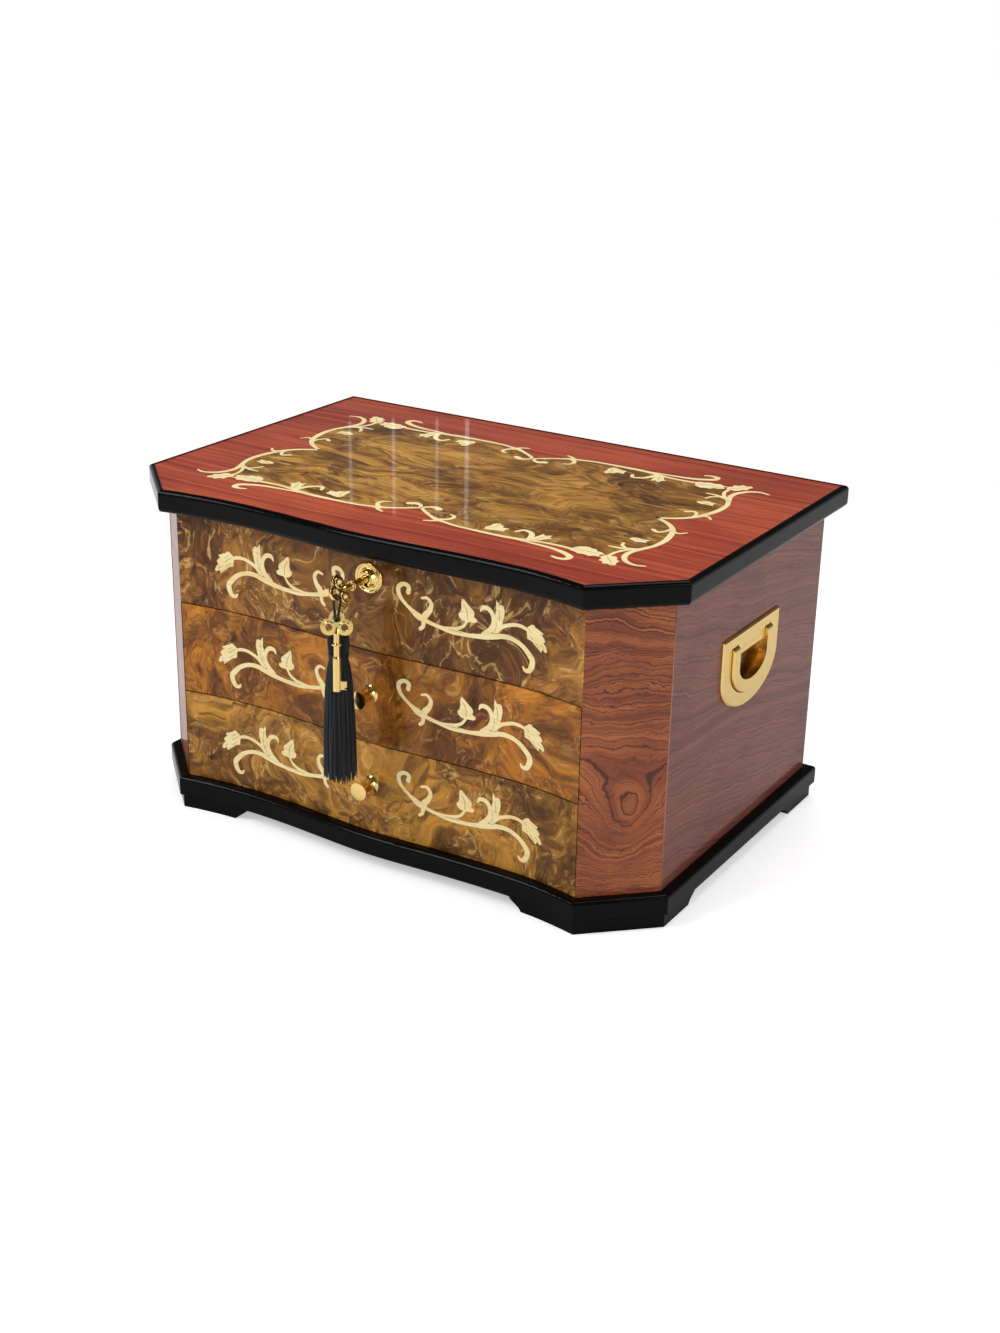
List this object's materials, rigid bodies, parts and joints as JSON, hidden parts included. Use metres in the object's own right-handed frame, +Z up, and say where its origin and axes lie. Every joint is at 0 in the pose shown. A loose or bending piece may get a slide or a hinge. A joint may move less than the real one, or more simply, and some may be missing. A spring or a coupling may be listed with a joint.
{
  "type": "jewellery chest",
  "caption": "Wooden jewellery chest with a serpentine front, hinged lid, drawers, side handles, and a lock whose key carries a tassel.",
  "frame": {"origin": "on the floor, at the middle of the chest with its lock key, tassel left out", "axes": "+Z up, +X to the right seen from the front, +Y towards the back"},
  "size_m": [0.3358, 0.2518, 0.1883],
  "materials": {
    "black_lacquer": "black polished lacquer on wood",
    "rosewood_veneer": "polished rosewood veneer",
    "secondary_wood": "satin hardwood",
    "burl_marquetry": "polished burl veneer with pale inlaid scrolls",
    "brass": "polished brass",
    "steel": "plain",
    "velvet": "dark red velvet",
    "mirror_glass": "silvered",
    "gilt_frame": "dark polished moulding",
    "cord_silk": "black twisted silk"
  },
  "bodies": {
    "chest": {"feet_front": "black_lacquer", "feet_back": "black_lacquer", "plinth_moulding": "black_lacquer", "side_panel_right": "rosewood_veneer", "side_panel_left": "rosewood_veneer", "corner_stile_right": "rosewood_veneer", "corner_stile_left": "rosewood_veneer", "back_panel": "secondary_wood", "bottom_panel": "secondary_wood", "tray_floor": "secondary_wood", "guide_panel_right": "secondary_wood", "guide_panel_left": "secondary_wood", "drawer_divider": "secondary_wood", "top_fascia": "burl_marquetry", "lock_case": "brass", "lock_cap": "brass", "escutcheon": "brass", "tray_lining": "velvet", "tray_partitions": "velvet", "ring_rolls": "velvet", "hinge_case_leaves": "brass", "hinge_pins": "brass", "handle_plate_right": "brass", "handle_plate_left": "brass", "handle_pivot_pins": "brass"},
    "lid": {"lid_panel": "secondary_wood", "lid_veneer": "burl_marquetry", "lid_edge_moulding": "black_lacquer", "lid_lining": "velvet", "mirror": "mirror_glass", "mirror_frame": "gilt_frame", "hinge_lid_leaves": "brass", "strike_plate": "brass"},
    "drawer_upper": {"drawer_front_upper": "burl_marquetry", "drawer_sides_upper": "secondary_wood", "drawer_back_upper": "secondary_wood", "drawer_bottom_upper": "secondary_wood", "drawer_lining_upper": "velvet", "drawer_knob_upper": "brass", "knob_screw_upper": "steel"},
    "drawer_lower": {"drawer_front_lower": "burl_marquetry", "drawer_sides_lower": "secondary_wood", "drawer_back_lower": "secondary_wood", "drawer_bottom_lower": "secondary_wood", "drawer_lining_lower": "velvet", "drawer_knob_lower": "brass", "knob_screw_lower": "steel"},
    "handle_bail_left": {"handle_bail_left": "brass"},
    "handle_bail_right": {"handle_bail_right": "brass"},
    "key": {"key": "brass"},
    "lock_bolt": {"lock_bolt": "brass"},
    "cord_eye": {"cord_bight": "cord_silk"},
    "tassel": {"cord_strands": "cord_silk", "tassel_head": "cord_silk", "tassel_collar": "cord_silk", "tassel_skirt": "cord_silk", "spare_key": "brass"}
  },
  "joints": [
    {"name": "lid_hinge", "type": "hinge", "parent": "chest", "child": "lid", "pos_m": [0, 0.11862, 0.17565], "axis": [-1, 0, 0], "range_deg": [0, 95]},
    {"name": "drawer_slide_upper", "type": "slide", "parent": "chest", "child": "drawer_upper", "axis": [0, -1, 0], "range_m": [0, 0.1]},
    {"name": "drawer_slide_lower", "type": "slide", "parent": "chest", "child": "drawer_lower", "axis": [0, -1, 0], "range_m": [0, 0.1], "deforming": ["tassel_skirt"]},
    {"name": "handle_pivot_left", "type": "hinge", "parent": "chest", "child": "handle_bail_left", "pos_m": [-0.1595, 0.02782, 0.1272], "axis": [0, 1, 0], "range_deg": [0, 90]},
    {"name": "handle_pivot_right", "type": "hinge", "parent": "chest", "child": "handle_bail_right", "pos_m": [0.1595, 0.02782, 0.1272], "axis": [0, -1, 0], "range_deg": [0, 90]},
    {"name": "key_turn", "type": "hinge", "parent": "chest", "child": "key", "pos_m": [0, -0.11276, 0.163], "axis": [0, -1, 0], "range_deg": [-90, 0]},
    {"name": "bolt_slide", "type": "slide", "parent": "chest", "child": "lock_bolt", "axis": [1, 0, 0], "range_m": [0, 0.005]},
    {"name": "cord_eye_shift", "type": "slide", "parent": "chest", "child": "cord_eye", "axis": [-0.9511, 0, 0.309], "range_m": [0, 0.00424]},
    {"name": "tassel_swing", "type": "hinge", "parent": "cord_eye", "child": "tassel", "pos_m": [0.00136, -0.11786, 0.16033], "axis": [-1, 0, 0], "range_deg": [0, 90], "deforming": ["cord_strands"]}
  ],
  "couplings": [
    {"joint": "bolt_slide", "follows": "cord_eye_shift", "ratio": 1.1784},
    {"joint": "key_turn", "follows": "cord_eye_shift", "rad_per_m": -370.19},
    {"joint": "tassel_swing", "follows": "drawer_slide_upper", "rad_per_m": 15.638}
  ]
}
